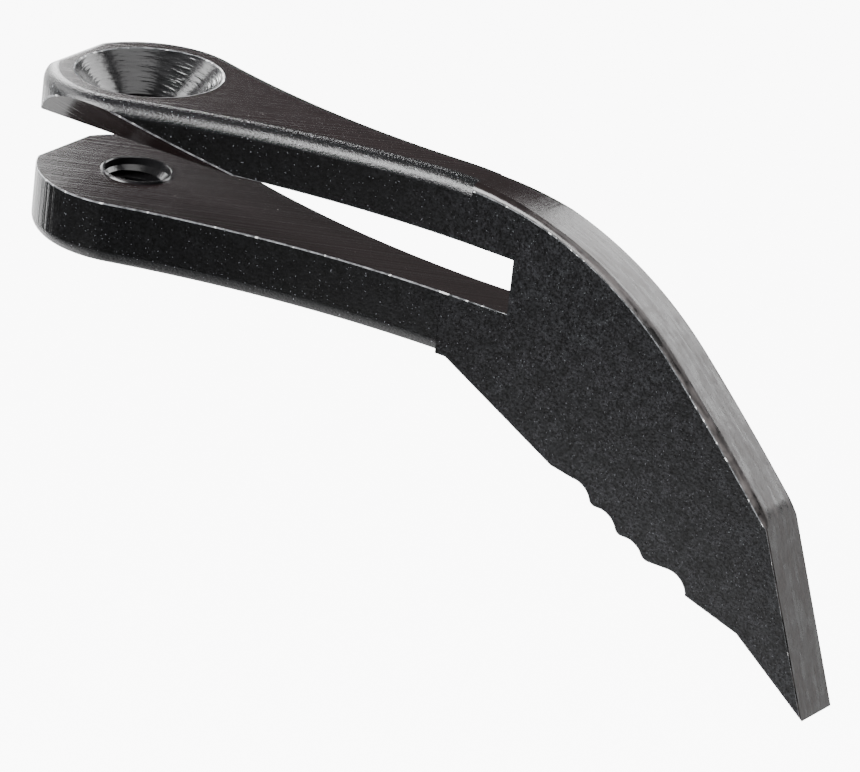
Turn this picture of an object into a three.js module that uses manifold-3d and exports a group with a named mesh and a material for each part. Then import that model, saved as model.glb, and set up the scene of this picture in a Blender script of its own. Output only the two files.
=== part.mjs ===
// Forked finger lever, machined in one piece from aluminium and anodised black.
//
// Two ears straddle a slot at the left end: the upper one has a countersunk hole for a flat-head
// screw, and the lower one a tapped hole on the same axis. The ears taper into a plain plate that
// curves down to a chisel tip, and the inner edge of the plate has four rounded grip notches.
//
// Frame, in millimetres: the origin is on the screw's axis, in the plane of the lower ear's slot
// face. +X runs along the fork towards the claw, +Y across the plate and +Z up the screw's axis.

import * as THREE from 'three';
import { mergeVertices } from 'three/addons/utils/BufferGeometryUtils.js';
import Module from 'manifold-3d';

const wasm = await Module();
wasm.setup();

// ---- Driving dimensions ----

// Plate and fork
const plateThickness = 3.3;
const slotHeight = 3.4;
const slotDepth = 27.9;        // screw axis to the slot's closed end
const lowerArm = 3.9;          // thickness of the lower arm
const upperEar = 2.97;         // thickness of the upper arm at the screw axis
const upperArmRise = 0.036;    // rise of the upper arm's top face for each millimetre along X

// Ears, in plan
const bossRadius = 6.1;
const bossFlat = 5.55;         // screw axis to the flat end of the ears
const taperEnd = 24.6;         // screw axis to where the ears' flare runs out into the plate
const forkRounding = 1.0;      // radius along the outside edges of the fork
const chamferHalfWidth = 3.5;  // half width left between the chamfers under the upper ear

// Holes for an M4 countersunk screw
const sinkRadius = 4.45;
const clearanceRadius = 2.2;
const tapRadius = 1.65;
const tapChamferRadius = 2.12;

// Claw, in side view
const backCentreX = 23.2;      // screw axis to the centre of the outer curve, along X
const backRadius = 23.57;      // radius of the outer curve behind the slot
const backTurn = 44;           // degrees that the outer curve turns through
const lowerBackRadius = 150;   // nearly straight run from the outer curve to the shoulder
const lowerBackLength = 10.1;
const shoulderRounding = 0.6;  // length rounded off each side of that run's corner
const tipReach = 50.7;         // screw axis to the tip, along X
const tipDrop = 18.0;          // slot face down to the tip

// Inner edge, in side view
const innerStart = 24.0;       // end of the lower arm's flat underside
const gripStart = [32.0, -8.16];
const gripLevel = -8.47;       // height of the first notch's level run
const gripRadius = 1.34;       // radius of the notches
const ridgeRounding = 0.45;
const ridges = [[34.93, -9.7], [36.9, -10.88], [38.87, -11.85]];
const lastRidge = [42.0, -13.06];
const tipBend = [45.7, -14.2];

// ---- Derived dimensions ----

const halfPlate = plateThickness / 2;
const upperFace = slotHeight + upperEar;
const riseAngle = Math.atan(upperArmRise);
const radians = THREE.MathUtils.degToRad;
const arcSteps = 16;
const planSteps = 8;           // steps long enough for the rounding at the ears' corners
const repeatDistance = 0.001;  // points closer than this are one point
const overrun = 2;             // how far the cutting solids run past what they cut

// The outer curve starts tangent to the upper arm's top face, where that face has risen to it.
const backStartX = backCentreX - backRadius * Math.sin(riseAngle);
const backStartZ = upperFace + backStartX * upperArmRise;
const backCentreZ = backStartZ - backRadius * Math.cos(riseAngle);

// ---- Solids ----

// A closed geometry as a manifold solid.
function solid(geometry) {
  const bare = geometry.clone();
  bare.deleteAttribute('normal');
  bare.deleteAttribute('uv');
  const merged = mergeVertices(bare, 1e-5);
  return new wasm.Manifold(new wasm.Mesh({
    numProp: 3,
    vertProperties: new Float32Array(merged.attributes.position.array),
    triVerts: new Uint32Array(merged.index.array),
  }));
}

// A manifold solid as a flat-shaded three.js geometry.
function geometryOf(manifold) {
  const mesh = manifold.getMesh();
  const geometry = new THREE.BufferGeometry();
  geometry.setAttribute('position', new THREE.BufferAttribute(mesh.vertProperties, 3));
  geometry.setIndex(new THREE.BufferAttribute(mesh.triVerts, 1));
  geometry.computeVertexNormals();
  return geometry;
}

// A side-view shape (X, Z) made solid from -halfWidth to +halfWidth in Y.
function acrossY(shape, halfWidth) {
  const geometry = new THREE.ExtrudeGeometry(shape, {
    depth: 2 * halfWidth,
    bevelEnabled: false,
    curveSegments: arcSteps,
  });
  geometry.rotateX(Math.PI / 2);
  geometry.translate(0, halfWidth, 0);
  return geometry;
}

// A hole or countersink: a profile of [radius, height] points turned about the screw's axis.
function turned(profile) {
  const points = profile.map(([radius, height]) => new THREE.Vector2(radius, height));
  const geometry = new THREE.LatheGeometry(points, 48);
  geometry.rotateX(Math.PI / 2);
  return geometry;
}

// Adds an arc to a path, by its centre, radius and end angles in degrees.
function arc(path, x, z, radius, from, to, clockwise) {
  path.absarc(x, z, radius, radians(from), radians(to), clockwise);
}

// ---- Side view: the fork, the slot and the claw ----

function sideView() {
  const side = new THREE.Shape();
  const left = -bossFlat - overrun;

  // Upper arm, outer curve and nearly straight lower back
  side.moveTo(left, slotHeight);
  side.lineTo(left, upperFace + left * upperArmRise);
  const startAngle = 90 + THREE.MathUtils.radToDeg(riseAngle);
  const turnAngle = 90 - backTurn;
  arc(side, backCentreX, backCentreZ, backRadius, startAngle, turnAngle, true);
  const inward = lowerBackRadius - backRadius;
  const lowerX = backCentreX - inward * Math.cos(radians(turnAngle));
  const lowerZ = backCentreZ - inward * Math.sin(radians(turnAngle));
  const turnOver = (length) => turnAngle - THREE.MathUtils.radToDeg(length / lowerBackRadius);
  const roundingStart = turnOver(lowerBackLength - shoulderRounding);
  arc(side, lowerX, lowerZ, lowerBackRadius, turnAngle, roundingStart, true);

  // Rounded shoulder, where the run meets the front face that goes down to the tip
  const cornerTurn = radians(turnOver(lowerBackLength));
  const corner = new THREE.Vector2(
    lowerX + lowerBackRadius * Math.cos(cornerTurn),
    lowerZ + lowerBackRadius * Math.sin(cornerTurn),
  );
  const tip = new THREE.Vector2(tipReach, -tipDrop);
  const frontStart = tip.clone().sub(corner).setLength(shoulderRounding).add(corner);
  side.quadraticCurveTo(corner.x, corner.y, frontStart.x, frontStart.y);

  // Front face down to the tip, and back up the inner edge
  side.lineTo(tipReach, -tipDrop);
  side.lineTo(...tipBend);
  side.lineTo(...lastRidge);
  gripNotches(side);
  side.lineTo(...gripStart);
  side.lineTo(innerStart, -lowerArm);
  side.lineTo(left, -lowerArm);

  // Slot
  side.lineTo(left, 0);
  side.lineTo(slotDepth, 0);
  side.lineTo(slotDepth, slotHeight);
  side.closePath();
  return side;
}

// The notches, from the last ridge back to the first. Each is level under its upper ridge, and
// turns down through an arc to the ridge below. All the crests but the last are rounded.
function gripNotches(side) {
  const crests = [lastRidge, ...ridges.slice().reverse()];
  const levels = [...ridges.map(([, z]) => z).reverse(), gripLevel];
  crests.forEach(([crestX, crestZ], index) => {
    const fall = gripRadius - (levels[index] - crestZ);
    const centreX = crestX - Math.sqrt(gripRadius ** 2 - fall ** 2);
    const centreZ = levels[index] - gripRadius;
    let start = THREE.MathUtils.radToDeg(Math.atan2(fall, crestX - centreX));
    if (index > 0) {
      start += THREE.MathUtils.radToDeg(ridgeRounding / gripRadius);
      const endX = centreX + gripRadius * Math.cos(radians(start));
      const endZ = centreZ + gripRadius * Math.sin(radians(start));
      side.lineTo(crestX + ridgeRounding, crestZ);
      side.quadraticCurveTo(crestX, crestZ, endX, endZ);
    }
    arc(side, centreX, centreZ, gripRadius, start, 90, false);
  });
}

// ---- Plan view: the flared ears ----

// A round boss, cut off square at the end, that flares into the plate through one concave arc
// tangent to both.
function planView(length) {
  const plan = new THREE.Shape();
  const reach = taperEnd ** 2 + halfPlate ** 2 - bossRadius ** 2;
  const flareRadius = reach / (2 * (bossRadius - halfPlate));
  const flareY = halfPlate + flareRadius;
  const touch = THREE.MathUtils.radToDeg(Math.atan2(flareY, taperEnd));
  const corner = THREE.MathUtils.radToDeg(Math.acos(-bossFlat / bossRadius));
  plan.moveTo(length, -halfPlate);
  plan.lineTo(length, halfPlate);
  arc(plan, taperEnd, flareY, flareRadius, 270, touch + 180, true);
  arc(plan, 0, 0, bossRadius, touch, corner, false);
  arc(plan, 0, 0, bossRadius, 360 - corner, 360 - touch, false);
  arc(plan, taperEnd, -flareY, flareRadius, 180 - touch, 90, true);
  plan.closePath();
  return withoutRepeats(plan);
}

// The same outline with one point wherever two arcs or lines meet.
function withoutRepeats(shape) {
  const points = shape.getPoints(planSteps);
  const kept = points.filter((point, index) => {
    const before = points.at(index - 1);
    return point.distanceTo(before) > repeatDistance;
  });
  return new THREE.Shape(kept);
}

// The ears' outline as a solid with rounded edges, from one height to another.
function roundedFork(bottom, top) {
  const geometry = new THREE.ExtrudeGeometry(planView(taperEnd + 3 * forkRounding), {
    depth: top - bottom - 2 * forkRounding,
    bevelEnabled: true,
    bevelThickness: forkRounding,
    bevelSize: forkRounding,
    bevelOffset: -forkRounding,
    bevelSegments: 4,
    curveSegments: arcSteps,
  });
  geometry.translate(0, 0, bottom + forkRounding);
  return geometry;
}

// ---- The lever ----

function leverBody() {
  // What lies above the slot leans with the upper arm's top face, and what lies below is level.
  const far = tipReach + tipDrop;
  const middle = slotHeight / 2;
  const upper = roundedFork(middle - 4 * forkRounding, upperFace);
  upper.translate(0, 0, -upperFace);
  upper.rotateY(-riseAngle);
  upper.translate(0, 0, upperFace);
  const aboveSlot = new THREE.BoxGeometry(far, 2 * far, far);
  aboveSlot.translate(0, 0, middle + far / 2);
  const lower = roundedFork(-lowerArm, upperFace);
  const belowSlot = new THREE.BoxGeometry(far, 2 * far, far);
  belowSlot.translate(0, 0, middle - far / 2);
  const plate = new THREE.BoxGeometry(far, plateThickness, 2 * far);
  plate.translate(taperEnd + far / 2, 0, 0);

  const forkAbove = solid(upper).intersect(solid(aboveSlot));
  const forkBelow = solid(lower).intersect(solid(belowSlot));
  const envelope = forkAbove.add(forkBelow).add(solid(plate));
  const blank = solid(acrossY(sideView(), bossRadius + overrun)).intersect(envelope);
  return blank.subtract(screwHoles()).subtract(earChamfers());
}

// The countersunk clearance hole in the upper ear and the tapped hole in the lower one. The tapped
// hole is plain, at the diameter it is drilled to.
function screwHoles() {
  const sinkDepth = sinkRadius - clearanceRadius;
  const middle = slotHeight / 2;
  const countersunk = turned([
    [0, middle],
    [clearanceRadius, middle],
    [clearanceRadius, upperFace - sinkDepth],
    [sinkRadius + overrun, upperFace + overrun],
    [0, upperFace + overrun],
  ]);
  const chamfer = tapChamferRadius - tapRadius;
  const tapped = turned([
    [0, -lowerArm - overrun],
    [tapRadius, -lowerArm - overrun],
    [tapRadius, -chamfer],
    [tapChamferRadius + overrun / 2, overrun / 2],
    [0, overrun / 2],
  ]);
  return solid(countersunk).add(solid(tapped));
}

// The 45 degree chamfers along both sides of the upper ear's slot face.
function earChamfers() {
  const below = slotHeight / 4;
  const rise = bossRadius + overrun - chamferHalfWidth;
  const corner = new THREE.Shape();
  corner.moveTo(chamferHalfWidth - below, slotHeight - below);
  corner.lineTo(chamferHalfWidth + rise, slotHeight - below);
  corner.lineTo(chamferHalfWidth + rise, slotHeight + rise);
  corner.closePath();
  const length = bossFlat + overrun + taperEnd;
  const cutter = new THREE.ExtrudeGeometry(corner, { depth: length, bevelEnabled: false });
  cutter.rotateX(Math.PI / 2);
  cutter.rotateZ(Math.PI / 2);
  cutter.translate(-bossFlat - overrun, 0, 0);
  const mirrored = cutter.clone();
  mirrored.rotateZ(Math.PI);
  mirrored.translate(2 * (-bossFlat - overrun) + length, 0, 0);
  return solid(cutter).add(solid(mirrored));
}

const anodised = new THREE.MeshStandardMaterial({
  color: 0x17171a,
  roughness: 0.42,
  metalness: 0.7,
});

const lever = new THREE.Group();
const body = new THREE.Mesh(geometryOf(leverBody()), anodised);
body.name = 'forked_lever';
lever.add(body);

export default lever;
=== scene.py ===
# %% [markdown]
# # A forked finger lever in black anodised aluminium
#
# The real part is milled from one bar. Two ears straddle a slot, the upper one countersunk for a
# flat-head screw and the lower one tapped for it, and a flat plate curves down from them to a
# chisel tip. Everything is one colour, so the whole look comes from shape and finish: how each
# face was cut, how each edge was rounded, and how the dyed skin catches a soft light.

# %% The frame
import math

import bmesh
import bpy
from mathutils import Matrix, Vector


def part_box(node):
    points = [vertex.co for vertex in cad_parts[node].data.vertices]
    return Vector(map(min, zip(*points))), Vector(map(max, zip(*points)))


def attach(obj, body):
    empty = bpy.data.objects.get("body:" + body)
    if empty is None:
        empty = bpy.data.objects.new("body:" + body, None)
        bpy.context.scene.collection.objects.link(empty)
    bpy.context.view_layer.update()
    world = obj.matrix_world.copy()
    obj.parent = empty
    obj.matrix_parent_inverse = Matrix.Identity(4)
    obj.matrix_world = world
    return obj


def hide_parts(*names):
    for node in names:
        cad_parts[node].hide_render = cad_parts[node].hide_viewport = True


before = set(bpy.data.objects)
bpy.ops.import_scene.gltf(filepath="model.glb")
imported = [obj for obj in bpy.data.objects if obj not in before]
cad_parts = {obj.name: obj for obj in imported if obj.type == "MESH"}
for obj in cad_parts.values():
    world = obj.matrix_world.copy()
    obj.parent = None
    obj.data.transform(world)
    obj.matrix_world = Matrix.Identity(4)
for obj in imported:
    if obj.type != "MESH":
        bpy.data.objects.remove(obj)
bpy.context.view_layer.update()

lever_low, lever_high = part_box("forked_lever")
print("lever spans", [round(1000 * (b - a), 2) for a, b in zip(lever_low, lever_high)], "mm")

# %% [markdown]
# ## Sizes
#
# The solids are modelled in millimetres, where the numbers are easy to read, and brought down to
# metres in one step at the end. The ends of the lever come from the frame, so the model follows
# it. The rest are the lever's own sizes: its plate, slot, arms, holes, curves and notches. They
# could stand where they are used, but one list is easier to check and to change.

# %% Sizes, in millimetres
MM = 0.001

boss_flat = -lever_low[0] / MM          # screw axis to the flat end of the ears
boss_radius = lever_high[1] / MM
tip_reach = lever_high[0] / MM
tip_drop = -lever_low[2] / MM

plate_thickness = 3.3
half_plate = plate_thickness / 2
slot_height = 3.4
slot_depth = 27.9
lower_arm = 3.9
upper_ear = 2.97
upper_face = slot_height + upper_ear
upper_rise = 0.036                      # rise of the upper arm's top face along X

taper_end = 24.6                        # where the ears' flare runs out into the plate
lower_end = 24.0                        # where the lower arm's flat underside ends
rounding_end = 23.3                     # where the rounding under the lower arm stops
fork_rounding = 1.0                     # along the top of the upper arm
lower_rounding = 1.3                    # along the underside of the lower arm
chamfer_half_width = 3.5

sink_radius = 4.45
clearance_radius = 2.2
tap_radius = 1.65                       # M4: drilled 3.3, pitch 0.7
thread_radius = 2.0
thread_pitch = 0.7
lead_in = 0.35                          # plain depth before the thread's first crest

back_centre_x = 23.2
back_radius = 23.57
back_turn = 44.0                        # degrees
lower_back_radius = 150.0
back_rounding = {-1: (0.5, 0.4), 1: (1.0, 0.3)}   # near, far edge: at the fork, past the blend
rounding_blend = 12.0                   # degrees of the back

edge_break = 0.08                       # deburred edges
rim_break = 0.06                        # deburred rims of the screw's clearance hole
print("boss radius", round(boss_radius, 2), "flat", round(boss_flat, 2), "mm")

# %% [markdown]
# ## The run of the back
#
# The upper arm's top runs straight into the back of the plate, an arc that turns through 44
# degrees. A nearly straight run, a gentle shoulder and the straight front of the tip follow, each
# tangent to the one before. A curve through points could draw this, but it would ripple where a
# cutter leaves true arcs. So only radii and turns are given, and the centres follow from them.

# %% Back of the plate, as tangent arcs
rise_angle = math.degrees(math.atan(upper_rise))
back_start_x = back_centre_x - back_radius * math.sin(math.radians(rise_angle))
back_start_z = upper_face + upper_rise * back_start_x
back_centre_z = back_start_z - back_radius * math.cos(math.radians(rise_angle))

lower_back_length = 10.1                # to the corner that the shoulder rounds
shoulder_radius = 3.0


def on_arc(centre, radius, degrees):
    """The point of an arc at an angle from X."""
    angle = math.radians(degrees)
    return centre[0] + radius * math.cos(angle), centre[1] + radius * math.sin(angle)


def next_centre(centre, radius, degrees, new_radius):
    """The centre of an arc that carries on from another at the given angle."""
    return on_arc(centre, radius - new_radius, degrees)


back_centre = (back_centre_x, back_centre_z)
start_turn = 90 - math.degrees(math.asin((taper_end - back_centre_x) / back_radius))
run_turn = 90 - back_turn
run_centre = next_centre(back_centre, back_radius, run_turn, lower_back_radius)
corner = on_arc(run_centre, lower_back_radius,
                run_turn - math.degrees(lower_back_length / lower_back_radius))
front_lean = math.atan2(tip_reach - corner[0], corner[1] + tip_drop)
front_reach = ((tip_reach - run_centre[0]) * math.cos(front_lean)
               - (tip_drop + run_centre[1]) * math.sin(front_lean))
front_turn = math.degrees(front_lean)
shoulder_turn = front_turn + math.degrees(
    math.acos((front_reach - shoulder_radius) / (lower_back_radius - shoulder_radius)))
shoulder_centre = next_centre(run_centre, lower_back_radius, shoulder_turn, shoulder_radius)
print("front face leans", round(front_turn, 1), "degrees, shoulder starts at",
      [round(v, 2) for v in on_arc(run_centre, lower_back_radius, shoulder_turn)])

# %% [markdown]
# ## Drawing an outline with operators
#
# An outline could be a typed list of points, but its arcs would be hard to change. Here it starts
# as one vertex. Extruding the vertex draws a straight stretch, and spinning it about a centre
# draws an arc, so the drawing keeps true radii. The pen below remembers its last vertex. Closing
# the outline gives one face, and extruding the face gives the solid.

# %% A pen
merge_distance = 1e-4                   # vertices nearer than this become one


class Pen:
    """Draws a closed outline: in the plane z = 0 if it is flat, or else in the plane y = 0."""

    def __init__(self, x, v, flat):
        self.bm = bmesh.new()
        self.flat = flat
        self.vert = self.bm.verts.new(self.place(x, v))
        self.first = self.vert

    def place(self, x, v):
        return Vector((x, v, 0)) if self.flat else Vector((x, 0, v))

    def line(self, x, v):
        out = bmesh.ops.extrude_vert_indiv(self.bm, verts=[self.vert])
        self.vert = out["verts"][0]
        self.vert.co = self.place(x, v)

    def arc(self, x, v, degrees, steps):
        """Turns about (x, v); a positive angle is anticlockwise on paper."""
        axis = Vector((0, 0, 1)) if self.flat else Vector((0, -1, 0))
        out = bmesh.ops.spin(
            self.bm, geom=[self.vert], cent=self.place(x, v), axis=axis,
            angle=math.radians(degrees), steps=steps, use_merge=False, use_duplicate=False,
        )
        self.vert = [g for g in out["geom_last"] if isinstance(g, bmesh.types.BMVert)][0]

    def close(self):
        """Joins the last vertex to the first, and fills the outline with one face."""
        if (self.vert.co - self.first.co).length > merge_distance:
            self.bm.edges.new((self.vert, self.first))
        bmesh.ops.remove_doubles(self.bm, verts=self.bm.verts[:], dist=merge_distance)
        bmesh.ops.contextual_create(self.bm, geom=self.bm.edges[:])
        return self.bm


# %% From outline to solid
UP = Vector((0, 0, 1))
ACROSS = Vector((0, 1, 0))


def thicken(bm, start, end, axis):
    """Extrudes the one face of an outline from start to end along an axis vector."""
    bmesh.ops.translate(bm, verts=bm.verts[:], vec=axis * start)
    out = bmesh.ops.extrude_face_region(bm, geom=bm.faces[:])
    moved = [g for g in out["geom"] if isinstance(g, bmesh.types.BMVert)]
    bmesh.ops.translate(bm, verts=moved, vec=axis * (end - start))
    bmesh.ops.recalc_face_normals(bm, faces=bm.faces[:])
    return bm

# %% [markdown]
# ## Finishes
#
# The lever is one metal and one dye, but each surface was cut in its own way. One material could
# tell them apart by direction and place, but it would guess wrongly on the roundings. So each
# finish is its own material, and a face gets its finish in the step that makes it. The finishes
# are named first, and their nodes are filled in later.

# %% Names of the finishes
FINISHES = [
    "black_anodised_grained",     # the sides, tumbled before anodising: a soft, mottled grey, with painted light along the plate
    "black_anodised_milled",      # top, slot and underside: a satin black with fine lines
    "black_anodised_rounded",     # the fork's rounded edges: glossier, with pits
    "black_anodised_brushed",     # the outer curve and the front of the tip: pale streaks
    "black_anodised_turned",      # the countersink: rings that catch the light
    "black_anodised_thread",      # cut by the tap: smooth and almost black
    "anodised_worn_edge_and_highlight",         # deburred edges: dye worn to a paler grey, plus a painted highlight
]
GRAINED, MILLED, ROUNDED, BRUSHED, TURNED, THREAD, WORN_AND_HIGHLIGHT = range(len(FINISHES))
materials = [bpy.data.materials.new(name) for name in FINISHES]


def paint(faces, finish, test=lambda face: True):
    """Gives a finish to the faces that pass a test."""
    for face in faces:
        if test(face):
            face.material_index = finish


def to_object(name, bm):
    mesh = bpy.data.meshes.new(name)
    bm.to_mesh(mesh)
    bm.free()
    for material in materials:
        mesh.materials.append(material)
    piece = bpy.data.objects.new(name, mesh)
    bpy.context.scene.collection.objects.link(piece)
    return piece


print(len(materials), "finishes:", ", ".join(FINISHES))

# %% [markdown]
# ## Cutting and rounding
#
# A milled part is stock less what the tools took, so the model is made in the same way: a solid,
# then booleans for holes and bevels for edges. The exact solver keeps the cuts clean where faces
# meet on one plane. A wide rounding has many steps and keeps clear of its neighbours. A deburred
# edge needs only two.

# %% Cutting and rounding helpers
wide_steps = 9
break_steps = 2
same_place = 1e-3                       # places nearer than this count as the same
outline_angle = math.radians(40)        # a face's outline turns at least this sharply


def cut(piece, tool, operation):
    """Applies one exact boolean to a piece and drops the tool."""
    modifier = piece.modifiers.new("cut", "BOOLEAN")
    modifier.object = tool
    modifier.operation = operation
    modifier.solver = "EXACT"
    depsgraph = bpy.context.evaluated_depsgraph_get()
    mesh = bpy.data.meshes.new_from_object(piece.evaluated_get(depsgraph))
    piece.modifiers.clear()
    old = piece.data
    piece.data = mesh
    bpy.data.meshes.remove(old)
    bpy.data.objects.remove(tool, do_unlink=True)


def round_edges(bm, edges, radius, steps, finish, keep_clear):
    """Rounds edges; keep_clear narrows a rounding where it would run into the next one."""
    out = bmesh.ops.bevel(
        bm, geom=edges, offset=radius, offset_type="OFFSET", segments=steps, profile=0.5,
        affect="EDGES", clamp_overlap=keep_clear, material=-1,
    )
    paint(out["faces"], finish)


def break_edges(bm, edges, width=edge_break):
    """A deburred edge: a tiny rounding with worn, paler dye and a painted highlight."""
    round_edges(bm, edges, width, break_steps, WORN_AND_HIGHLIGHT, keep_clear=False)


def outline_edges(bm, height, x_limit):
    """The edges of a flat face at one height, leaving out the cut end at x_limit."""
    return [
        edge for edge in bm.edges
        if all(abs(height(v.co) - v.co.z) < same_place for v in edge.verts)
        and not all(abs(v.co.x - x_limit) < same_place for v in edge.verts)
        and edge.calc_face_angle(0) > outline_angle
    ]

# %% [markdown]
# ## The ears in plan
#
# Seen from above, each arm is a round boss, cut off square at its end, that flares into the plate.
# The flare could be a spline pulled to fit, but an end mill leaves one concave arc, tangent to the
# boss at one end and to the plate's side at the other. Its radius follows from where it must touch
# both, so a change of boss or plate keeps it smooth.

# %% Plan of an arm
flare_steps = 28
boss_steps = 44


def arm_plan():
    stand_out = boss_radius - half_plate
    flare_radius = (taper_end**2 + half_plate**2 - boss_radius**2) / (2 * stand_out)
    flare_y = half_plate + flare_radius
    touch = math.degrees(math.atan2(flare_y, taper_end))
    sweep = 90 - touch
    corner = math.degrees(math.acos(boss_flat / boss_radius))
    side_y = boss_radius * math.sin(math.radians(corner))
    pen = Pen(taper_end, -half_plate, flat=True)
    pen.line(taper_end, half_plate)
    pen.arc(taper_end, flare_y, -sweep, flare_steps)
    pen.arc(0, 0, 180 - corner - touch, boss_steps)
    pen.line(-boss_flat, -side_y)
    pen.arc(0, 0, 180 - corner - touch, boss_steps)
    pen.arc(taper_end, -flare_y, -sweep, flare_steps)
    print("flare radius", round(flare_radius, 1), "mm")
    return pen.close()


def paint_arm(bm):
    """The walls of an arm are grained, and its level faces are milled."""
    paint(bm.faces, GRAINED, lambda face: abs(face.normal.z) < 0.5)
    paint(bm.faces, MILLED, lambda face: abs(face.normal.z) > 0.5)

# %% [markdown]
# ## The upper arm
#
# The arm grows a little thicker towards the plate, so its top isn't level. Moving the top's
# vertices could tilt it, but a plane that cuts off spare height leaves a truly flat face, as the
# cutter did. Two more planes cut the chamfers under the ear. The rounding along the top is wide,
# as a corner-rounding cutter leaves it, and the edges around the slot are only deburred.

# %% Slopes of the upper arm
def arc_height(x):
    """Height of the back's arc."""
    return back_centre[1] + math.sqrt(back_radius**2 - (x - back_centre[0])**2)


def top_planes():
    """The slope of the arm's top, then two chords of the back's arc: points and normals."""
    planes = [(Vector((0, 0, upper_face)), Vector((-upper_rise, 0, 1)).normalized())]
    stops = [back_start_x, (back_start_x + taper_end) / 2, taper_end]
    for a, b in zip(stops, stops[1:]):
        rise = arc_height(b) - arc_height(a)
        normal = Vector((-rise, 0, b - a)).normalized()
        planes.append((Vector((a, 0, arc_height(a))), normal))
    return planes


def upper_height(co):
    """Height of the arm's top face above a point."""
    return min(
        point.z - (normal.x * (co.x - point.x)) / normal.z for point, normal in top_planes()
    )


print("top of the arm at the plate", round(upper_height(Vector((taper_end, 0, 0))), 2), "mm")

# %% Upper arm
spare_height = 3.0                      # what the sloping planes have to cut off
on_plane = 1e-5                         # vertices this near to a cutting plane lie on it


def slice_off(bm, point, normal, finish):
    """Cuts away what lies beyond a plane and closes the cut with a face of the given finish."""
    geom = bm.verts[:] + bm.edges[:] + bm.faces[:]
    out = bmesh.ops.bisect_plane(bm, geom=geom, dist=on_plane, plane_co=point, plane_no=normal,
                                 clear_outer=True, clear_inner=False)
    rim = [g for g in out["geom_cut"] if isinstance(g, bmesh.types.BMEdge)]
    filled = bmesh.ops.edgenet_fill(bm, edges=rim)
    paint(filled["faces"], finish)
    bmesh.ops.recalc_face_normals(bm, faces=bm.faces[:])


def at_plate(edge):
    return all(abs(v.co.x - taper_end) < same_place for v in edge.verts)


def under_wall(edge):
    """True where a wall meets the slot's face or a chamfer below it."""
    rises = sorted(face.normal.z for face in edge.link_faces)
    return len(rises) == 2 and rises[0] < -0.5 and abs(rises[1]) < 0.2 and not at_plate(edge)


def make_upper_arm():
    bm = thicken(arm_plan(), slot_height, upper_face + spare_height, UP)
    paint_arm(bm)
    for point, normal in top_planes():
        slice_off(bm, point, normal, MILLED)
    bm.normal_update()
    top = outline_edges(bm, upper_height, taper_end)
    round_edges(bm, top, fork_rounding, wide_steps, ROUNDED, keep_clear=True)
    for side in (-1, 1):
        edge_point = Vector((0, side * chamfer_half_width, slot_height))
        slice_off(bm, edge_point, Vector((0, side, -1)).normalized(), MILLED)
    bm.normal_update()
    break_edges(bm, [edge for edge in bm.edges if under_wall(edge)])
    return to_object("upper_arm", bm)


upper_arm = make_upper_arm()
print("upper arm", len(upper_arm.data.polygons), "faces")

# %% [markdown]
# ## The lower arm
#
# The lower arm has the same plan and is level on both faces, with the wide rounding underneath. It
# could be a copy of the upper arm turned over, but its thickness and edges differ, so it is drawn
# again. It stops a little earlier, where its rounding runs out into the plate.

# %% Lower arm
def make_lower_arm():
    bm = thicken(arm_plan(), -lower_arm, 0, UP)
    slice_off(bm, Vector((rounding_end, 0, 0)), Vector((1, 0, 0)), GRAINED)
    paint_arm(bm)
    bm.normal_update()
    underside = outline_edges(bm, lambda co: -lower_arm, rounding_end)
    round_edges(bm, underside, lower_rounding, wide_steps, ROUNDED, keep_clear=True)
    break_edges(bm, outline_edges(bm, lambda co: 0.0, rounding_end))
    return to_object("lower_arm", bm)


lower_arm_piece = make_lower_arm()
print("lower arm", len(lower_arm_piece.data.polygons), "faces")

# %% [markdown]
# ## The notches
#
# The plate's inner edge has four notches that give the claw its grip. Each runs level under one
# ridge and turns down through an arc to the next ridge. Four cylinders could be cut out of the
# plate, but then the ridges between them would stay knife sharp. Drawn as part of the outline, an
# arc can stop short of its ridge, and a small curve rounds the crest.

# %% Inner edge of the plate
grip_start = (32.0, -8.16)
grip_level = -8.47
grip_radius = 1.34
ridge_rounding = 0.45
ridges = [(34.93, -9.7), (36.9, -10.88), (38.87, -11.85)]
last_ridge = (42.0, -13.06)
tip_bend = (45.7, -14.2)
notch_steps = 14
crest_steps = 6


def draw_crest(pen, begin, peak, end):
    """A curve from begin to end that leans towards the peak between them."""
    pen.line(*begin)
    for step in range(1, crest_steps):
        t = step / crest_steps
        pen.line(*[
            (1 - t)**2 * a + 2 * t * (1 - t) * b + t * t * c for a, b, c in zip(begin, peak, end)
        ])
    pen.line(*end)


def draw_notches(pen):
    """From the last ridge back to the first; all the crests but the last are rounded."""
    crests = [last_ridge] + ridges[::-1]
    levels = [z for _, z in ridges[::-1]] + [grip_level]
    for index, ((crest_x, crest_z), level) in enumerate(zip(crests, levels)):
        fall = grip_radius - (level - crest_z)
        centre = (crest_x - math.sqrt(grip_radius**2 - fall**2), level - grip_radius)
        start = math.degrees(math.atan2(fall, crest_x - centre[0]))
        if index:
            start += math.degrees(ridge_rounding / grip_radius)
            begin = (crest_x + ridge_rounding, crest_z)
            draw_crest(pen, begin, (crest_x, crest_z), on_arc(centre, grip_radius, start))
        pen.arc(*centre, 90 - start, notch_steps)


print("notches", len(ridges) + 1, "of radius", grip_radius, "mm")

# %% [markdown]
# ## The plate
#
# The plate is a flat blade of one thickness that carries both arms. It could be shaped from a box
# with cuts, but nearly all its shape is in its side view, so it is drawn there once and thickened.
# The slot is a step in the outline: the arms are joined on above and below it.

# %% Plate
back_steps = 44
run_steps = 12
shoulder_steps = 16
past_slot_x = slot_depth + 1            # beyond this, no face belongs to the slot


def is_back(face):
    """The faces of the back and the front of the tip look up and forwards, past the slot."""
    outward, middle = face.normal, face.calc_center_median()
    past_slot = middle.z > slot_height or middle.x > past_slot_x
    return outward.x + outward.z > 0.5 and abs(outward.y) < 0.5 and past_slot


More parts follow.
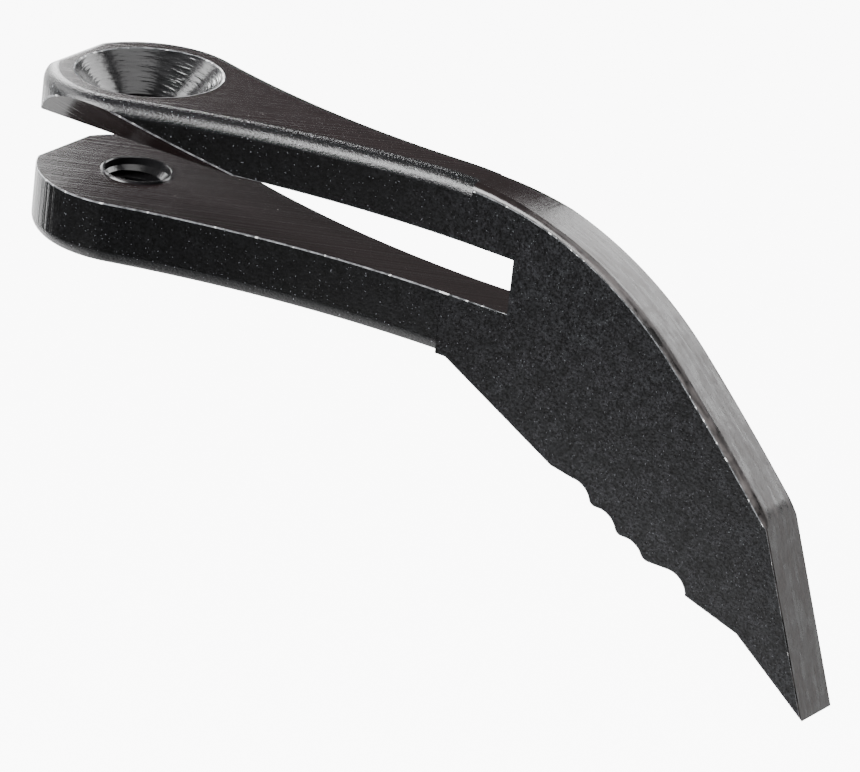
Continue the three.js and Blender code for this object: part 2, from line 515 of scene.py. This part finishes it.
def is_rim(edge):
    """An edge that lies in one side of the plate, isn't upright and doesn't touch the back."""
    a, b = (vert.co for vert in edge.verts)
    return (abs(a.y - b.y) < merge_distance and abs(a.x - b.x) > merge_distance
            and not any(is_back(face) for face in edge.link_faces))


def make_plate():
    top = back_centre[1] + back_radius * math.sin(math.radians(start_turn))
    pen = Pen(taper_end, slot_height, flat=False)
    pen.line(taper_end, top)
    pen.arc(*back_centre, run_turn - start_turn, back_steps)
    pen.arc(*run_centre, shoulder_turn - run_turn, run_steps)
    pen.arc(*shoulder_centre, front_turn - shoulder_turn, shoulder_steps)
    pen.line(tip_reach, -tip_drop)
    pen.line(*tip_bend)
    pen.line(*last_ridge)
    draw_notches(pen)
    pen.line(*grip_start)
    pen.line(lower_end, -lower_arm)
    pen.line(rounding_end, -lower_arm)
    pen.line(rounding_end, 0)
    pen.line(slot_depth, 0)
    pen.line(slot_depth, slot_height)
    bm = thicken(pen.close(), -half_plate, half_plate, ACROSS)
    paint(bm.faces, GRAINED, lambda face: abs(face.normal.y) > 0.5)
    paint(bm.faces, MILLED, lambda face: abs(face.normal.y) < 0.5)
    paint(bm.faces, BRUSHED, is_back)
    break_edges(bm, [edge for edge in bm.edges if is_rim(edge)])
    return to_object("forked_lever_body", bm)


plate = make_plate()
print("plate", len(plate.data.polygons), "faces")

# %% [markdown]
# ## Rounding along the back
#
# A hand file rounded the two edges of the back. The rounding dies away over the shoulder, and down
# the front of the tip the edges are only deburred. A bevel keeps one width, so the waste is made
# as a solid instead: a small section, the corner less a quarter circle, is copied along the edge,
# scaled to the width it has there, and bridged. Where the file met the side the dye is worn, and a
# thin painted highlight runs along it.

# %% Section of the waste
section_steps = 8
section_margin = 0.4                    # how far the section stands clear of the corner


def rounding_section(bm):
    """The corner outside a quarter circle of radius 1; x is depth, y is in from the side."""
    first = bm.verts.new((1, 0, 0))
    out = bmesh.ops.spin(
        bm, geom=[first], cent=(1, 1, 0), axis=(0, 0, -1), angle=math.radians(90),
        steps=section_steps, use_merge=False, use_duplicate=False,
    )
    last = [g for g in out["geom_last"] if isinstance(g, bmesh.types.BMVert)][0]
    out_of_reach = -section_margin
    outside = [(out_of_reach, 1, 0), (out_of_reach, out_of_reach, 0), (1, out_of_reach, 0)]
    chain = [last] + [bm.verts.new(co) for co in outside] + [first]
    for a, b in zip(chain, chain[1:]):
        bm.edges.new((a, b))


# %% Stations along the back
early_start = 2.0                       # degrees by which the waste starts inside the fork
overshoot = 1.1                         # the waste runs on past the tip


def back_stations(at_fork, past_blend):
    """Points along the back with their outward angles and the rounding's radius there."""
    stations = []
    # Each arc has its centre, its radius, its first and last angle and its steps.
    for centre, radius, start, end, steps in (
        (back_centre, back_radius, start_turn + early_start, run_turn, 30),
        (run_centre, lower_back_radius, run_turn, shoulder_turn, 10),
        (shoulder_centre, shoulder_radius, shoulder_turn, front_turn, 14),
    ):
        for step in range(steps):
            angle = start + (end - start) * step / steps
            blend = min(1.0, max(0.0, (start_turn - angle) / rounding_blend))
            width = at_fork + (past_blend - at_fork) * blend
            if radius == shoulder_radius:
                width = max(edge_break, width * math.sqrt(1 - (step / steps)**2))
            stations.append((on_arc(centre, radius, angle), angle, width))
    shoulder_end = on_arc(shoulder_centre, shoulder_radius, front_turn)
    past_tip = (shoulder_end[0] + (tip_reach - shoulder_end[0]) * overshoot,
                shoulder_end[1] - (tip_drop + shoulder_end[1]) * overshoot)
    stations.append((shoulder_end, front_turn, edge_break))
    stations.append((past_tip, front_turn, edge_break))
    return stations


print("stations along the back", len(back_stations(*back_rounding[1])))

# %% The waste along one edge of the back
facing_side = 0.97                      # a cut that looks this nearly sideways met the side


def rounding_waste(side):
    bm = bmesh.new()
    loops = []
    for (x, z), angle, radius in back_stations(*back_rounding[side]):
        before = set(bm.edges)
        rounding_section(bm)
        edges = [edge for edge in bm.edges if edge not in before]
        verts = list({v for edge in edges for v in edge.verts})
        inward = Vector((-math.cos(math.radians(angle)), 0, -math.sin(math.radians(angle))))
        place = Matrix.Translation((x, side * half_plate, z)) @ Matrix((
            (inward.x * radius, 0, 0, 0),
            (0, -side * radius, 0, 0),
            (inward.z * radius, 0, 1, 0),
            (0, 0, 0, 1),
        ))
        bmesh.ops.transform(bm, matrix=place, verts=verts)
        loops.append(edges)
    for a, b in zip(loops, loops[1:]):
        bmesh.ops.bridge_loops(bm, edges=a + b)
    bmesh.ops.contextual_create(bm, geom=loops[0])
    bmesh.ops.contextual_create(bm, geom=loops[-1])
    bmesh.ops.recalc_face_normals(bm, faces=bm.faces[:])
    paint(bm.faces, BRUSHED)
    # Next to the side: worn dye and a thin painted highlight line.
    paint(bm.faces, WORN_AND_HIGHLIGHT, lambda face: abs(face.normal.y) > facing_side)
    return to_object("rounding_waste", bm)


for side in (-1, 1):
    cut(plate, rounding_waste(side), "DIFFERENCE")
print("plate with a rounded back", len(plate.data.polygons), "faces")

# %% [markdown]
# ## The countersink
#
# The upper ear has a clearance hole that opens into a cone for the screw's head. A cone and a
# cylinder could be cut one after the other, but a drill and its countersink share an axis, so one
# profile spun about that axis makes one cutter, with no seam between hole and cone.

# %% Countersink and clearance hole
past_face = 1.0                         # how far a cutter stands past the faces it cuts
sink_steps = 96
axis_merge = 1e-5                       # joins the spun points that lie on the axis


def spun(profile, finish, steps):
    """A solid of revolution about the screw's axis, from (radius, height) points."""
    bm = bmesh.new()
    verts = [bm.verts.new((radius, 0, z)) for radius, z in profile]
    edges = [bm.edges.new(pair) for pair in zip(verts, verts[1:])]
    bmesh.ops.spin(bm, geom=verts + edges, cent=(0, 0, 0), axis=(0, 0, 1),
                   angle=math.radians(360), steps=steps, use_merge=True, use_duplicate=False)
    bmesh.ops.remove_doubles(bm, verts=bm.verts[:], dist=axis_merge)
    bmesh.ops.recalc_face_normals(bm, faces=bm.faces[:])
    paint(bm.faces, finish)
    return to_object("cutter", bm)


sink_depth = sink_radius - clearance_radius
countersink = spun([
    (0, slot_height - past_face),
    (clearance_radius, slot_height - past_face),
    (clearance_radius, upper_face - sink_depth),
    (sink_radius, upper_face),
    (sink_radius + past_face, upper_face + past_face),
    (0, upper_face + past_face),
], TURNED, sink_steps)
cut(upper_arm, countersink, "DIFFERENCE")
print("countersink", round(sink_depth, 2), "mm deep")

# %% [markdown]
# ## The countersink's rims
#
# Both ends of the hole were touched with a deburring tool, which left a thin ring of worn dye; it
# is painted pale, as worn dye and a painted highlight, and draws the eye to the hole. A ring could
# be added to the cutter's profile, but the top slopes, so the rim isn't level. Bevelling the edges
# that the cut left follows the slope.

# %% Rims of the countersink
rim_angle = math.radians(20)            # a rim turns at least this sharply
cone_reach = sink_radius + 0.4          # the rims lie within these distances of the axis
hole_reach = clearance_radius + 0.1


def break_rim(piece, on_rim):
    bm = bmesh.new()
    bm.from_mesh(piece.data)
    rim = [edge for edge in bm.edges if all(on_rim(v.co) for v in edge.verts)
           and edge.calc_face_angle(0) > rim_angle]
    break_edges(bm, rim, rim_break)
    bm.to_mesh(piece.data)
    bm.free()
    print("rim of", len(rim), "edges broken")


break_rim(upper_arm, lambda co: math.hypot(co.x, co.y) < cone_reach
          and abs(co.z - upper_height(co)) < same_place)
break_rim(upper_arm, lambda co: math.hypot(co.x, co.y) < hole_reach
          and abs(co.z - slot_height) < same_place)

# %% [markdown]
# ## The tapped hole
#
# The lower ear is drilled, chamfered and tapped for the screw. Bump could fake a thread, but its
# crests show against the dark inside of the hole, so they are real geometry. The groove between
# threads is spun too, and climbs by one pitch each turn, as the tap does. The tap also pushed up a
# thin lip round the hole.

# %% Drilled hole and lip
into_slot = 0.5                         # how far the drill's cutter stands in the slot
hole_steps = 72

tapped = spun([
    (0, -lower_arm - past_face),
    (tap_radius, -lower_arm - past_face),
    (tap_radius, -lead_in - thread_radius + tap_radius),
    (thread_radius, -lead_in),
    (thread_radius, into_slot),
    (0, into_slot),
], THREAD, hole_steps)
cut(lower_arm_piece, tapped, "DIFFERENCE")

lip = spun([
    (thread_radius, -0.05),
    (thread_radius, 0.09),
    (thread_radius + 0.05, 0.14),
    (thread_radius + 0.13, 0.14),
    (thread_radius + 0.20, 0.07),
    (thread_radius + 0.26, -0.05),
    (thread_radius, -0.05),
], THREAD, hole_steps)
cut(lower_arm_piece, lip, "UNION")
print("lower arm with its hole", len(lower_arm_piece.data.polygons), "faces")

# %% Thread
steps_per_turn = 40
extra_turns = 0.6                       # takes the groove out through the lead-in
into_hole = 0.06                        # how far the groove's mouth stands inside the hole
flank_angle = math.radians(30)          # half of the 60 degrees between flanks


def thread_waste():
    """The groove between threads: a 60 degree vee spun up a helix."""
    bm = bmesh.new()
    root = thread_pitch / 16
    inner = tap_radius - into_hole
    mouth = root + (thread_radius - inner) * math.tan(flank_angle)
    start = -lower_arm - thread_pitch
    profile = [(thread_radius, -root), (thread_radius, root), (inner, mouth), (inner, -mouth)]
    verts = [bm.verts.new((radius, 0, start + z)) for radius, z in profile]
    edges = [bm.edges.new((a, b)) for a, b in zip(verts, verts[1:] + verts[:1])]
    turns = (lower_arm + thread_pitch) / thread_pitch + extra_turns
    steps = round(steps_per_turn * turns)
    rise = Vector((0, 0, thread_pitch * turns / steps))
    out = bmesh.ops.spin(bm, geom=verts + edges, cent=(0, 0, 0), axis=(0, 0, 1), dvec=rise,
                         angle=math.radians(360 * turns), steps=steps, use_merge=False,
                         use_duplicate=False)
    last = [g for g in out["geom_last"] if isinstance(g, bmesh.types.BMEdge)]
    bmesh.ops.contextual_create(bm, geom=edges)
    bmesh.ops.contextual_create(bm, geom=last)
    bmesh.ops.recalc_face_normals(bm, faces=bm.faces[:])
    paint(bm.faces, THREAD)
    return to_object("thread_waste", bm)


cut(lower_arm_piece, thread_waste(), "DIFFERENCE")
print("lower arm with its thread", len(lower_arm_piece.data.polygons), "faces")

# %% [markdown]
# ## One piece
#
# The lever was always one bar. Three overlapping objects would look the same from most sides, but
# they would show seams and hide faces inside, so the solids are joined into one. Then the mesh
# comes down to metres, its hard edges are marked, and weighted normals keep the flats flat right
# up to their roundings.

# %% Joining
sharp_angle = math.radians(34)          # faces that meet at more than this keep a crisp edge

cut(plate, upper_arm, "UNION")
cut(plate, lower_arm_piece, "UNION")
body = plate
body.name = "forked_lever_body"
body.data.transform(Matrix.Scale(MM, 4))
body.data.name = "forked_lever_body"
body.data.polygons.foreach_set("use_smooth", [True] * len(body.data.polygons))
body.data.set_sharp_from_angle(angle=sharp_angle)
weighted = body.modifiers.new("flat_faces", "WEIGHTED_NORMAL")
weighted.mode = "FACE_AREA"
weighted.keep_sharp = True
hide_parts("forked_lever")
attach(body, "root")
print("lever body", len(body.data.polygons), "faces")

# %% [markdown]
# ## Helpers for the finishes
#
# Nodes can be placed by hand in the editor, but a script that makes them is easier to read and to
# repeat. One function adds a node with its settings and links, and one turns a hex colour to the
# linear values that the shader needs.

# %% Node and colour helpers
def linear(hex_colour):
    """An sRGB hex colour as linear red, green, blue and alpha."""
    values = [int(hex_colour[i:i + 2], 16) / 255 for i in (0, 2, 4)]
    return (*[v / 12.92 if v <= 0.04045 else ((v + 0.055) / 1.055)**2.4 for v in values], 1.0)


def add(tree, kind, settings=None, **inputs):
    """Adds a node; an input is a value or an output socket to link.

    An input goes by its name, or by i and its number where a node has two of one name.
    """
    node = tree.nodes.new(kind)
    for name, value in (settings or {}).items():
        setattr(node, name, value)
    for name, value in inputs.items():
        numbered = name[0] == "i" and name[1:].isdigit()
        socket = node.inputs[int(name[1:]) if numbered else name.replace("_", " ")]
        if isinstance(value, bpy.types.NodeSocket):
            tree.links.new(value, socket)
        else:
            socket.default_value = value
    return node


def start_finish(index, roughness):
    """An empty finish: returns its tree, its shader and the object coordinates.

    Anodising grows a skin of oxide that holds the dye. This black skin hides the metal below it,
    so the shader stays non-metallic and keeps its default index of refraction.
    """
    material = materials[index]
    material.use_nodes = True
    tree = material.node_tree
    tree.nodes.clear()
    shader = add(tree, "ShaderNodeBsdfPrincipled", Roughness=roughness)
    add(tree, "ShaderNodeOutputMaterial", Surface=shader.outputs["BSDF"])
    coords = add(tree, "ShaderNodeTexCoord").outputs["Object"]
    return tree, shader, coords


def finish_with(tree, shader, colour, height, strength, depth, under=None):
    """Links a colour and a bump, over another bump if one is given; depth is in millimetres."""
    bump = add(tree, "ShaderNodeBump", Strength=strength, Distance=depth * MM, Height=height)
    if under is not None:
        tree.links.new(under, bump.inputs["Normal"])
    tree.links.new(colour, shader.inputs["Base Color"])
    tree.links.new(bump.outputs["Normal"], shader.inputs["Normal"])


def per_mm(size):
    """Texture scale for a feature of the given size in millimetres."""
    return 1 / (size * MM)


def count_nodes(index):
    print(FINISHES[index], "has", len(materials[index].node_tree.nodes), "nodes")

# %% [markdown]
# ## What the finishes share
#
# Every dyed surface here is mottled at a scale of one or two tenths of a millimetre, with a few
# pale flecks where the dye took less. A painted texture could show both, but noise at a real
# size works on every face without a map.

# %% Mottle and flecks
def mottle(tree, coords, size, dark, light, low=0.3, high=0.75):
    """A fine noise and the colours it runs between."""
    noise = add(tree, "ShaderNodeTexNoise", Vector=coords, Scale=per_mm(size), Detail=3.0,
                Roughness=0.65).outputs["Fac"]
    ramp = add(tree, "ShaderNodeValToRGB", Fac=noise)
    ramp.color_ramp.elements[0].position = low
    ramp.color_ramp.elements[0].color = linear(dark)
    ramp.color_ramp.elements[1].position = high
    ramp.color_ramp.elements[1].color = linear(light)
    return noise, ramp.outputs["Color"]


def flecked(tree, coords, colour, size, amount, tone):
    """Scatters pale flecks of about one size over a colour; amount is from 0 to 1."""
    cells = add(tree, "ShaderNodeTexNoise", Vector=coords, Scale=per_mm(size),
                Detail=0.0).outputs["Fac"]
    edge = 0.86 - 0.2 * amount
    spots = add(tree, "ShaderNodeMapRange", {"interpolation_type": "SMOOTHSTEP"}, Value=cells,
                From_Min=edge, From_Max=edge + 0.06, To_Min=0.0, To_Max=1.0).outputs[0]
    return add(tree, "ShaderNodeMix", {"data_type": "RGBA"}, i0=spots, i6=colour,
               i7=linear(tone)).outputs[2]

# %% [markdown]
# ## Milled faces
#
# The top, the slot and the underside show the fine parallel lines of a cutter that crossed the
# bar at an angle. A wave texture would draw them too evenly, so a noise of one dimension does it.
# The dye looks slightly brown there, because the skin is smoother and thinner.

# %% Milled finish
def lines_across(tree, coords, degrees, spacing):
    """A one-dimensional noise: parallel lines at an angle to X in the XY plane."""
    turned_coords = add(tree, "ShaderNodeMapping", {"vector_type": "POINT"}, Vector=coords,
                        Rotation=(0, 0, math.radians(-degrees))).outputs[0]
    parts = add(tree, "ShaderNodeSeparateXYZ", Vector=turned_coords)
    return add(tree, "ShaderNodeTexNoise", {"noise_dimensions": "1D"}, W=parts.outputs["Y"],
               Scale=per_mm(spacing), Detail=2.0, Roughness=0.5).outputs["Fac"]


def milled():
    tree, shader, coords = start_finish(MILLED, roughness=0.2)
    lines = lines_across(tree, coords, degrees=29, spacing=0.28)
    grain, tones = mottle(tree, coords, size=0.2, dark="110c0c", light="201818")
    rough = add(tree, "ShaderNodeMapRange", Value=lines, From_Min=0.3, From_Max=0.7,
                To_Min=0.16, To_Max=0.26).outputs[0]
    colour = flecked(tree, coords, tones, size=0.2, amount=0.0, tone="7a7572")
    fine = add(tree, "ShaderNodeBump", Strength=0.25, Distance=0.01 * MM, Height=grain)
    tree.links.new(rough, shader.inputs["Roughness"])
    finish_with(tree, shader, colour, lines, strength=0.9, depth=0.03,
                under=fine.outputs["Normal"])


milled()
count_nodes(MILLED)

# %% [markdown]
# ## Sides
#
# The sides were tumbled before they were anodised, which leaves a fine mottled grain with pale
# flecks where the dye took less, and slow, faint clouds. The sides are also painted lighter along
# the lever, dark on the arms and greyer on the plate: painted light, for the sheen that grows
# towards the plate. The side of an end mill cut the ears' ends, so upright lines run round them. A
# noise that doesn't change with height gives the lines, and they fade out along the arm.

# %% Grained finish
def grained():
    tree, shader, coords = start_finish(GRAINED, roughness=0.22)
    along = add(tree, "ShaderNodeSeparateXYZ", Vector=coords).outputs["X"]
    near_end = add(tree, "ShaderNodeMapRange", Value=along, From_Min=-3 * MM, From_Max=4 * MM,
                   To_Min=1.0, To_Max=0.06).outputs[0]
    # Painted light: the sides are painted lighter along X, dark on the arms and greyer on the
    # plate.
    painted_sheen_along = add(tree, "ShaderNodeMapRange", {"interpolation_type": "SMOOTHSTEP"}, Value=along,
                 From_Min=16 * MM, From_Max=32 * MM, To_Min=0.07, To_Max=0.22).outputs[0]
    grain, tones = mottle(tree, coords, size=0.16, dark="050506", light="4c4d51", low=0.38,
                          high=0.66)
    clouds = add(tree, "ShaderNodeTexNoise", Vector=coords, Scale=per_mm(0.7), Detail=4.0,
                 Roughness=0.6).outputs["Fac"]
    shade = add(tree, "ShaderNodeMapRange", Value=clouds, From_Min=0.35, From_Max=0.65,
                To_Min=0.55, To_Max=1.3).outputs[0]
    strength = add(tree, "ShaderNodeMath", {"operation": "MULTIPLY"}, i0=shade,
                   i1=painted_sheen_along).outputs[0]
    clouds_and_painted_sheen = add(tree, "ShaderNodeVectorMath", {"operation": "SCALE"}, i0=tones,
                  Scale=strength).outputs[0]
    colour = flecked(tree, coords, clouds_and_painted_sheen, size=0.12, amount=0.45, tone="46484b")
    upright = add(tree, "ShaderNodeMapping", Vector=coords, Scale=(1, 1, 0.02)).outputs[0]
    strokes = add(tree, "ShaderNodeTexNoise", Vector=upright, Scale=per_mm(0.3), Detail=2.0,
                  Roughness=0.6).outputs["Fac"]
    fine = add(tree, "ShaderNodeBump", Strength=0.6, Distance=0.025 * MM, Height=grain)
    finish_with(tree, shader, colour, strokes, strength=near_end, depth=0.06,
                under=fine.outputs["Normal"])


grained()
count_nodes(GRAINED)

# %% [markdown]
# ## Rounded edges
#
# A corner-rounding cutter and then tumbling made the fork's long roundings. They are glossy, and
# tiny pits break up the highlight that runs along them. Displaced geometry could make the pits,
# but they are a twentieth of a millimetre deep, so bump is enough.

# %% Rounded finish
def rounded():
    tree, shader, coords = start_finish(ROUNDED, roughness=0.24)
    pits, tones = mottle(tree, coords, size=0.14, dark="030304", light="161719")
    colour = flecked(tree, coords, tones, size=0.15, amount=0.4, tone="6c6e72")
    finish_with(tree, shader, colour, pits, strength=0.8, depth=0.045)


rounded()
count_nodes(ROUNDED)

# %% [markdown]
# ## Brushed back
#
# The back was brushed lengthwise by hand, so pale streaks and smudges lie over the black. Streaks
# alone would look combed, so two noises are mixed: one stretched ten times in the plane of the
# plate, and one left round. Both colour and roughness follow the mix, since scuffed dye is paler
# and duller.

# %% Brushed finish
def brushed():
    tree, shader, coords = start_finish(BRUSHED, roughness=0.3)
    along = add(tree, "ShaderNodeMapping", Vector=coords, Scale=(0.1, 1.0, 0.1)).outputs[0]
    streaks = add(tree, "ShaderNodeTexNoise", Vector=along, Scale=per_mm(0.3), Detail=3.0,
                  Roughness=0.6).outputs["Fac"]
    smudges = add(tree, "ShaderNodeTexNoise", Vector=coords, Scale=per_mm(0.8), Detail=4.0,
                  Roughness=0.65).outputs["Fac"]
    marks = add(tree, "ShaderNodeMix", {"data_type": "FLOAT"}, i0=0.4, i2=streaks,
                i3=smudges).outputs[0]
    ramp = add(tree, "ShaderNodeValToRGB", Fac=marks)
    ramp.color_ramp.elements[0].position = 0.4
    ramp.color_ramp.elements[0].color = linear("171616")
    ramp.color_ramp.elements[1].position = 0.62
    ramp.color_ramp.elements[1].color = linear("565150")
    # Just past the fork the brushing fades in over the arm's darker top, first at the near edge.
    place = add(tree, "ShaderNodeSeparateXYZ", Vector=coords)
    reach = add(tree, "ShaderNodeMath", {"operation": "MULTIPLY_ADD"}, i0=place.outputs["Y"],
                i1=-1.6, i2=place.outputs["X"]).outputs[0]
    blend = add(tree, "ShaderNodeMapRange", {"interpolation_type": "SMOOTHSTEP"}, Value=reach,
                From_Min=26 * MM, From_Max=39 * MM).outputs[0]
    colour = add(tree, "ShaderNodeMix", {"data_type": "RGBA"}, i0=blend, i6=linear("181212"),
                 i7=ramp.outputs["Color"]).outputs[2]
    worn = add(tree, "ShaderNodeMapRange", Value=marks, From_Min=0.4, From_Max=0.6,
               To_Min=0.24, To_Max=0.5).outputs[0]
    rough = add(tree, "ShaderNodeMix", {"data_type": "FLOAT"}, i0=blend, i2=0.2,
                i3=worn).outputs[0]
    tree.links.new(rough, shader.inputs["Roughness"])
    finish_with(tree, shader, colour, marks, strength=0.6, depth=0.05)


brushed()
count_nodes(BRUSHED)

# %% [markdown]
# ## Turned cone
#
# The countersink's flutes left rings in the cone, which catch the light in short arcs. A ring
# texture would make them perfect circles. Here a noise reads the distance from the screw's axis,
# plus a little of the position round it, so each ring swells and fades as it goes round.

# %% Turned finish
def turned_finish():
    tree, shader, coords = start_finish(TURNED, roughness=0.2)
    parts = add(tree, "ShaderNodeSeparateXYZ", Vector=coords)
    x, y = parts.outputs["X"], parts.outputs["Y"]
    xx = add(tree, "ShaderNodeMath", {"operation": "MULTIPLY"}, i0=x, i1=x).outputs[0]
    yy = add(tree, "ShaderNodeMath", {"operation": "MULTIPLY"}, i0=y, i1=y).outputs[0]
    total = add(tree, "ShaderNodeMath", {"operation": "ADD"}, i0=xx, i1=yy).outputs[0]
    radius = add(tree, "ShaderNodeMath", {"operation": "SQRT"}, i0=total).outputs[0]
    around = add(tree, "ShaderNodeMapping", Vector=coords, Scale=(0.12, 0.12, 0)).outputs[0]
    bent = add(tree, "ShaderNodeCombineXYZ", Z=radius).outputs[0]
    ring_coords = add(tree, "ShaderNodeVectorMath", {"operation": "ADD"}, i0=around,
                      i1=bent).outputs[0]
    rings = add(tree, "ShaderNodeTexNoise", Vector=ring_coords, Scale=per_mm(0.18), Detail=2.0,
                Roughness=0.6).outputs["Fac"]
    ramp = add(tree, "ShaderNodeValToRGB", Fac=rings)
    ramp.color_ramp.elements[0].position = 0.35
    ramp.color_ramp.elements[0].color = linear("050506")
    ramp.color_ramp.elements[1].position = 0.65
    ramp.color_ramp.elements[1].color = linear("1f1f20")
    finish_with(tree, shader, ramp.outputs["Color"], rings, strength=1.0, depth=0.05)


turned_finish()
count_nodes(TURNED)

# %% [markdown]
# ## Thread, and worn edges with a painted highlight
#
# The tap cut the thread smooth, so it is plain and almost black. On the deburred edges the dye has
# worn to a paler grey, with specks of dust, and the pale grey also stands in for a painted
# highlight along each edge. A mask from the mesh's sharpness could find such edges, but here they
# are faces of their own, so a material is enough.

# %% Thread, and worn edges with a painted highlight
def thread_finish():
    tree, shader, coords = start_finish(THREAD, roughness=0.22)
    marks = add(tree, "ShaderNodeTexNoise", Vector=coords, Scale=per_mm(0.15),
                Detail=2.0).outputs["Fac"]
    ramp = add(tree, "ShaderNodeValToRGB", Fac=marks)
    ramp.color_ramp.elements[0].color = linear("0c0c0d")
    ramp.color_ramp.elements[1].color = linear("1d1d1e")
    finish_with(tree, shader, ramp.outputs["Color"], marks, strength=0.5, depth=0.02)


def edge_wear_and_highlight():
    tree, shader, coords = start_finish(WORN_AND_HIGHLIGHT, roughness=0.35)
    # The pale grey is worn dye and a painted edge highlight; the white specks are dust.
    _, tones = mottle(tree, coords, size=0.5, dark="303133", light="7f8184", low=0.38,
                      high=0.68)
    dust_and_highlight = flecked(tree, coords, tones, size=0.35, amount=0.9, tone="d8d8d8")
    tree.links.new(dust_and_highlight, shader.inputs["Base Color"])


thread_finish()
count_nodes(THREAD)
edge_wear_and_highlight()
count_nodes(WORN_AND_HIGHLIGHT)

# %% [markdown]
# ## Floor
#
# The lever hangs above a plain pale floor. A real sheet would take the lamps' patches of light, so
# the floor is an opal acrylic sheet lit from below, which looks even. It is hidden from
# reflections and bounced light, because it would fill the black underside with grey.

# %% Floor
floor_drop = 0.12                       # metres from the tip down to the floor
floor_reach = 4.0                       # metres from the middle to an edge
floor_glow = 8.0


def make_floor():
    bm = bmesh.new()
    bmesh.ops.create_grid(bm, x_segments=1, y_segments=1, size=floor_reach)
    bmesh.ops.translate(bm, verts=bm.verts[:], vec=(0, 0, lever_low[2] - floor_drop))
    mesh = bpy.data.meshes.new("floor")
    bm.to_mesh(mesh)
    bm.free()
    floor = bpy.data.objects.new("floor", mesh)
    bpy.context.scene.collection.objects.link(floor)
    material = bpy.data.materials.new("lit_white_acrylic")
    material.use_nodes = True
    shader = material.node_tree.nodes["Principled BSDF"]
    shader.inputs["Base Color"].default_value = linear("f7f7f7")
    shader.inputs["Roughness"].default_value = 0.9
    shader.inputs["Emission Color"].default_value = (1, 1, 1, 1)
    shader.inputs["Emission Strength"].default_value = floor_glow
    mesh.materials.append(material)
    floor.visible_glossy = False
    floor.visible_diffuse = False


make_floor()
print("floor at", round(lever_low[2] - floor_drop, 3), "m")

# %% [markdown]
# ## Light
#
# Black shows only what it reflects. One big light or a bright sky would grey every face alike, so
# large soft lights stand where each polished surface looks: a softbox at the front left for the
# fork's roundings, panels behind for the curved back and the front of the tip, and one overhead
# for the cone. Small cards on the left and below light the ends of the ears.

# %% World and lights
world_strength = 0.12

world = bpy.data.worlds.new("studio")
bpy.context.scene.world = world
world.use_nodes = True
world.node_tree.nodes["Background"].inputs["Color"].default_value = (1, 1, 1, 1)
world.node_tree.nodes["Background"].inputs["Strength"].default_value = world_strength


def card(name, place, target, width, height, brightness):
    """A rectangle of even brightness that faces a target; places and sizes are in metres."""
    light = bpy.data.lights.new(name, "AREA")
    light.shape = "RECTANGLE"
    light.size = width
    light.size_y = height
    light.energy = brightness * math.pi * width * height
    lamp = bpy.data.objects.new(name, light)
    place, target = Vector(place), Vector(target)
    turn = (target - place).to_track_quat("-Z", "Y").to_matrix().to_4x4()
    lamp.matrix_world = Matrix.Translation(place) @ turn
    lamp.visible_camera = False
    bpy.context.scene.collection.objects.link(lamp)


aim = Vector((0.018, 0.0, 0.0))         # the middle of the lever
ear = Vector((-0.003, 0.0, 0.002))
card("front_left_softbox", aim + 0.6 * Vector((-0.49, -0.76, 0.42)), aim, 0.45, 0.35, 26)
card("back_panel", aim + 0.7 * Vector((0.17, 0.82, 0.55)), aim, 0.60, 0.34, 8.4)
card("back_right_panel", aim + 0.7 * Vector((0.66, 0.75, 0.02)), aim, 0.30, 0.26, 2.5)
card("overhead_panel", aim + 0.6 * Vector((0.28, 0.0, 0.96)), aim, 0.46, 0.46, 3.0)
card("left_high_card", ear + 0.25 * Vector((-0.84, -0.06, 0.50)), ear, 0.08, 0.08, 11)
card("left_card", (-0.110, 0.060, -0.020), ear, 0.12, 0.13, 2.8)
card("back_left_card", (-0.105, 0.085, 0.055), ear, 0.05, 0.07, 17)
card("under_card", (-0.075, 0.045, -0.120), ear, 0.24, 0.20, 0.8)
card("under_front_card", (-0.075, -0.045, -0.110), ear, 0.24, 0.08, 1.4)
print(len(bpy.data.lights), "lights")

# %% [markdown]
# ## Camera
#
# A small part is best seen through a long lens from far off, so that its parallel edges stay
# nearly parallel. The camera could be aimed with a constraint, but it is rolled a little too,
# so its place is worked out from two angles, a roll and a distance from the point it looks at.

# %% Camera
camera_azimuth = math.radians(32.08)
camera_elevation = math.radians(22.43)
camera_roll = math.radians(6.53)
camera_distance = 0.450
camera_aim = Vector((0.0182, 0.0064, -0.0099))

camera_data = bpy.data.cameras.new("camera")
camera_data.sensor_width = 36
camera_data.lens = 315.4
camera_data.clip_start = 0.01
camera = bpy.data.objects.new("camera", camera_data)
turn = (Matrix.Rotation(camera_azimuth, 4, "Z")
        @ Matrix.Rotation(math.radians(90) - camera_elevation, 4, "X"))
back = turn.to_3x3() @ Vector((0, 0, 1))
camera.matrix_world = (Matrix.Translation(camera_aim + back * camera_distance)
                       @ turn @ Matrix.Rotation(camera_roll, 4, "Z"))
bpy.context.scene.collection.objects.link(camera)
bpy.context.scene.camera = camera
print("camera at", [round(v, 3) for v in camera.matrix_world.translation])
